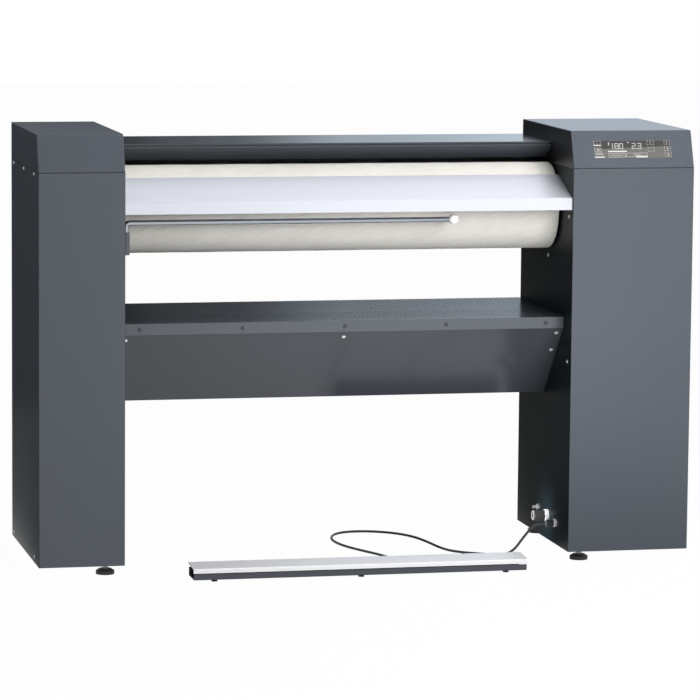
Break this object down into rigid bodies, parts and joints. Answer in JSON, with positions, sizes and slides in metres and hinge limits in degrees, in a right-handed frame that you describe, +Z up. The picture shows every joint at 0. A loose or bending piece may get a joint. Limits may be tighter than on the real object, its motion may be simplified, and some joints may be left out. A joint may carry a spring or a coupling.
{
  "type": "flatwork ironer",
  "caption": "Floor-standing roller flatwork ironer: dressed roller under a heated trough between two columns, with feed board, laundry rod, shelf, levelling feet and a foot pedal on a cable.",
  "frame": {"origin": "on the floor, under the middle of the box round the machine and its pedal", "axes": "+X along the roller to the column with the display, +Y from the operator to the back, +Z up"},
  "size_m": [1.5544, 0.5978, 1.018],
  "materials": {
    "cover_paint": "blue-grey semi-gloss powder coat",
    "wall_paint": "near-black semi-gloss powder coat",
    "heater_cover_paint": "dark grey powder coat",
    "zinc_steel": "galvanised steel sheet",
    "steel": "ground steel",
    "bright_nickel": "nickel-plated",
    "chrome": "polished chrome",
    "anodised_aluminium": "satin anodised",
    "sole_aluminium": "polished",
    "cast_aluminium": "as cast",
    "roller_cloth": "cream woven ironing cloth",
    "padding": "springy needle felt",
    "insulation": "ceramic fibre blanket",
    "black_plastic": "moulded black polyamide",
    "black_rubber": "black rubber",
    "cord_black": "black cable sheath",
    "white_plastic": "white ball knob",
    "display_glass": "smoked display window",
    "circuit_board": "green laminate"
  },
  "bodies": {
    "machine": {"left_frame": "zinc_steel", "right_frame": "zinc_steel", "left_casing": "cover_paint", "right_casing": "cover_paint", "left_hood": "cover_paint", "right_hood": "cover_paint", "left_inner_panel": "wall_paint", "right_inner_panel": "wall_paint", "left_rear_panel": "cover_paint", "right_rear_panel": "cover_paint", "display_window": "display_glass", "control_board": "circuit_board", "roller_bearings": "cast_aluminium", "drive_belt": "black_rubber", "drive_motor": "cast_aluminium", "trough_bushes": "cast_aluminium", "lift_motor": "cast_aluminium", "heater_cover": "heater_cover_paint", "rear_cover": "heater_cover_paint", "feed_board": "anodised_aluminium", "feed_board_brackets": "zinc_steel", "shelf_plate": "heater_cover_paint", "beam_front": "cover_paint", "beam_rear": "cover_paint", "cross_tubes": "zinc_steel", "rod_holder": "black_plastic", "foot_nuts": "bright_nickel", "pedal_base": "wall_paint", "pedal_pin": "steel", "pedal_feet": "black_rubber", "pedal_switch": "black_plastic", "pedal_springs": "steel", "mains_gland": "black_plastic", "gland_rings": "bright_nickel", "pedal_gland": "black_plastic", "bonding_stud": "bright_nickel", "pedal_cord": "cord_black", "cover_screws": "bright_nickel", "lip_screws": "black_plastic"},
    "roller": {"roller_drum": "steel", "roller_padding": "padding", "roller_cloth": "roller_cloth", "roller_pulley": "cast_aluminium"},
    "drive": {"drive_pulley": "steel"},
    "trough": {"trough_sole": "sole_aluminium", "heating_elements": "steel", "trough_blanket": "insulation", "trough_shell": "zinc_steel", "trough_arms": "steel", "lift_lever": "steel", "cam_follower": "steel"},
    "lift": {"lift_cam": "steel"},
    "guard": {"finger_guard": "heater_cover_paint"},
    "rod": {"laundry_rod": "chrome", "rod_knob": "white_plastic"},
    "pedal": {"pedal_plate": "anodised_aluminium"},
    "foot_front_left": {"foot_front_left": "black_plastic"},
    "foot_front_right": {"foot_front_right": "black_plastic"},
    "foot_back_left": {"foot_back_left": "black_plastic"},
    "foot_back_right": {"foot_back_right": "black_plastic"}
  },
  "joints": [
    {"name": "roller_spin", "type": "hinge", "parent": "machine", "child": "roller", "pos_m": [0, 0.026, 0.8303], "axis": [-1, 0, 0], "continuous": true},
    {"name": "drive_spin", "type": "hinge", "parent": "machine", "child": "drive", "pos_m": [0.522, 0.026, 0.622], "axis": [-1, 0, 0], "continuous": true},
    {"name": "trough_lift", "type": "hinge", "parent": "machine", "child": "trough", "pos_m": [0, 0.253, 0.728], "axis": [1, 0, 0], "range_deg": [0, 3.4]},
    {"name": "cam_turn", "type": "hinge", "parent": "machine", "child": "lift", "pos_m": [0.522, 0.186, 0.674], "axis": [1, 0, 0], "range_deg": [0, 120]},
    {"name": "guard_tilt", "type": "hinge", "parent": "machine", "child": "guard", "pos_m": [0, 0.038, 0.9735], "axis": [1, 0, 0], "range_deg": [0, 4], "stiffness_Nm_per_rad": 2, "springref_deg": -5.73},
    {"name": "rod_swing", "type": "hinge", "parent": "machine", "child": "rod", "pos_m": [-0.5668, -0.129, 0.7386], "axis": [0, 0, 1], "range_deg": [-90, 0]},
    {"name": "pedal_press", "type": "hinge", "parent": "machine", "child": "pedal", "pos_m": [-0.039, -0.218, 0.026], "axis": [1, 0, 0], "range_deg": [0, 4.5], "stiffness_Nm_per_rad": 20, "springref_deg": -3.44, "deforming": ["pedal_springs"]},
    {"name": "foot_screw_front_left", "type": "slide", "parent": "machine", "child": "foot_front_left", "axis": [0, 0, -1], "range_m": [0, 0.015]},
    {"name": "foot_screw_front_right", "type": "slide", "parent": "machine", "child": "foot_front_right", "axis": [0, 0, -1], "range_m": [0, 0.015]},
    {"name": "foot_screw_back_left", "type": "slide", "parent": "machine", "child": "foot_back_left", "axis": [0, 0, -1], "range_m": [0, 0.015]},
    {"name": "foot_screw_back_right", "type": "slide", "parent": "machine", "child": "foot_back_right", "axis": [0, 0, -1], "range_m": [0, 0.015]}
  ],
  "couplings": [
    {"joint": "drive_spin", "follows": "roller_spin", "ratio": 3},
    {"joint": "cam_turn", "follows": "trough_lift", "ratio": 35.294}
  ]
}
